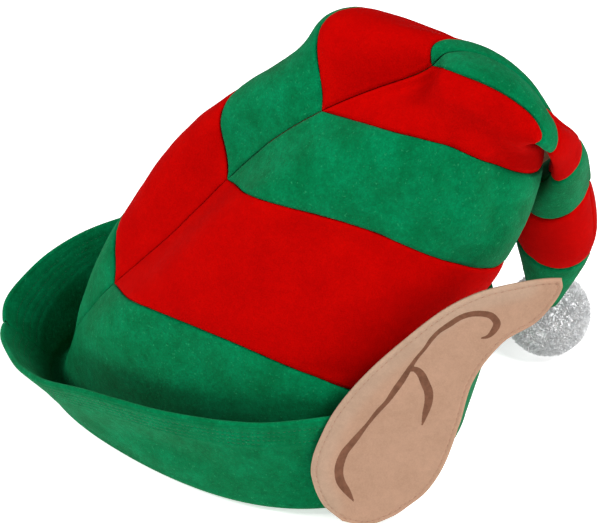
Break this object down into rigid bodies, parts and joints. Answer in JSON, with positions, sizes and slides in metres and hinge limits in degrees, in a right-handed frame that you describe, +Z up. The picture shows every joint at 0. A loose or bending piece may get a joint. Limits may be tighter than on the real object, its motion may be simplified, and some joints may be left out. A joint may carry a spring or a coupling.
{
  "type": "felt elf hat",
  "caption": "Striped felt elf hat with a turned-up brim, pointed felt ears and a floppy folded tail that ends in a pompom.",
  "frame": {"origin": "middle of the hat's box in plan, on the surface that the brim's fold rests on", "axes": "+Z up, the hat's front towards -Y, the wearer's left towards +X"},
  "size_m": [0.2056, 0.3162, 0.2542],
  "materials": {
    "stripe_1_left": "mottled wool-look felt",
    "stripe_1_right": "mottled wool-look felt",
    "stripe_2_left": "smooth felt",
    "stripe_2_right": "smooth felt",
    "stripe_3_left": "mottled wool-look felt",
    "stripe_3_right": "mottled wool-look felt",
    "stripe_4_left": "smooth felt",
    "stripe_4_right": "smooth felt",
    "stripe_5_left": "mottled wool-look felt",
    "stripe_5_right": "mottled wool-look felt",
    "stripe_6_left": "smooth felt",
    "stripe_6_right": "smooth felt",
    "stripe_7_left": "mottled wool-look felt",
    "stripe_7_right": "mottled wool-look felt",
    "stripe_8_left": "smooth felt",
    "stripe_8_right": "smooth felt",
    "stripe_9_left": "mottled wool-look felt",
    "stripe_9_right": "mottled wool-look felt",
    "brim_left": "mottled wool-look felt",
    "brim_right": "mottled wool-look felt",
    "ear_left": "smooth doubled felt",
    "ear_right": "smooth doubled felt",
    "pompom": "short soft pile"
  },
  "bodies": {
    "root": {"stripe_1_left": "stripe_1_left", "stripe_1_right": "stripe_1_right", "stripe_2_left": "stripe_2_left", "stripe_2_right": "stripe_2_right", "stripe_3_left": "stripe_3_left", "stripe_3_right": "stripe_3_right", "stripe_4_left": "stripe_4_left", "stripe_4_right": "stripe_4_right", "stripe_5_left": "stripe_5_left", "stripe_5_right": "stripe_5_right", "stripe_6_left": "stripe_6_left", "stripe_6_right": "stripe_6_right", "stripe_7_left": "stripe_7_left", "stripe_7_right": "stripe_7_right", "stripe_8_left": "stripe_8_left", "stripe_8_right": "stripe_8_right", "stripe_9_left": "stripe_9_left", "stripe_9_right": "stripe_9_right", "brim_left": "brim_left", "brim_right": "brim_right", "ear_left": "ear_left", "ear_right": "ear_right", "pompom": "pompom"}
  },
  "joints": []
}
